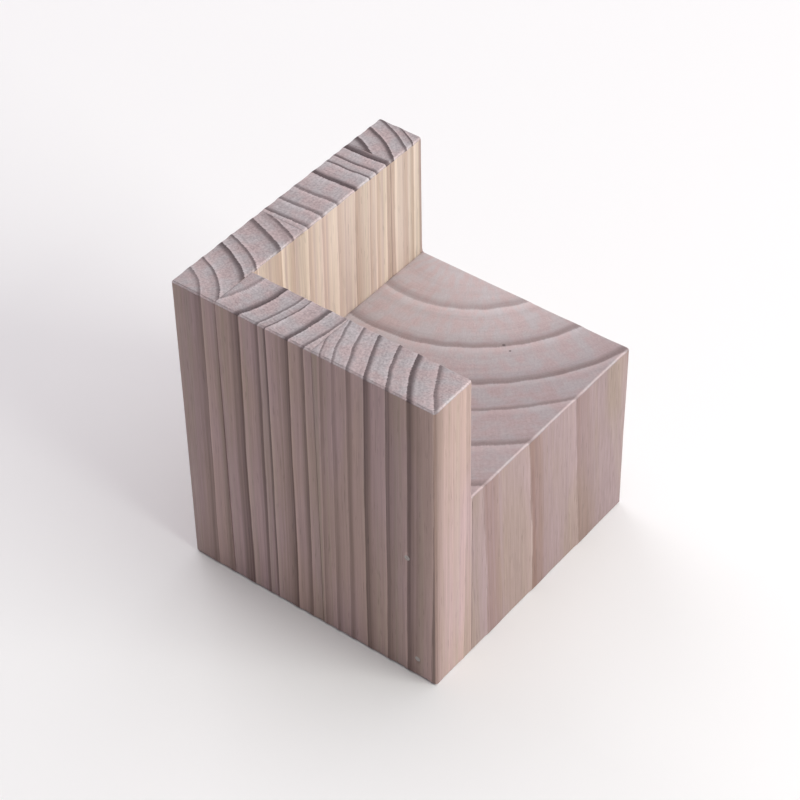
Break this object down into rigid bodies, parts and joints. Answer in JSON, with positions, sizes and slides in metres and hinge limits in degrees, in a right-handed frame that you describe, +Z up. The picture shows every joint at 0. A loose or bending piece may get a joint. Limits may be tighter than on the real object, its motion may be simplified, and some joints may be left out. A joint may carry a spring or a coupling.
{
  "type": "bed riser",
  "caption": "Pine bed riser: a solid end-grain block that lifts a furniture leg, with a raised L-shaped guard of edge-glued boards on two neighbouring sides.",
  "frame": {"origin": "on the floor, at the middle of the footprint", "axes": "+Z up; +X to the right along the front guard; +Y to the back along the side guard; the guards' outer corner points to -X and -Y"},
  "size_m": [0.1, 0.103, 0.116],
  "materials": {
    "pine_block": "sanded, unfinished",
    "pine_guard": "sanded, unfinished",
    "brad_steel": "bright wire"
  },
  "bodies": {
    "root": {"seat_block": "pine_block", "side_guard_front_stave": "pine_guard", "side_guard_middle_stave": "pine_guard", "side_guard_rear_stave": "pine_guard", "front_guard_left_stave": "pine_guard", "front_guard_right_stave": "pine_guard", "brads": "brad_steel"}
  },
  "joints": []
}
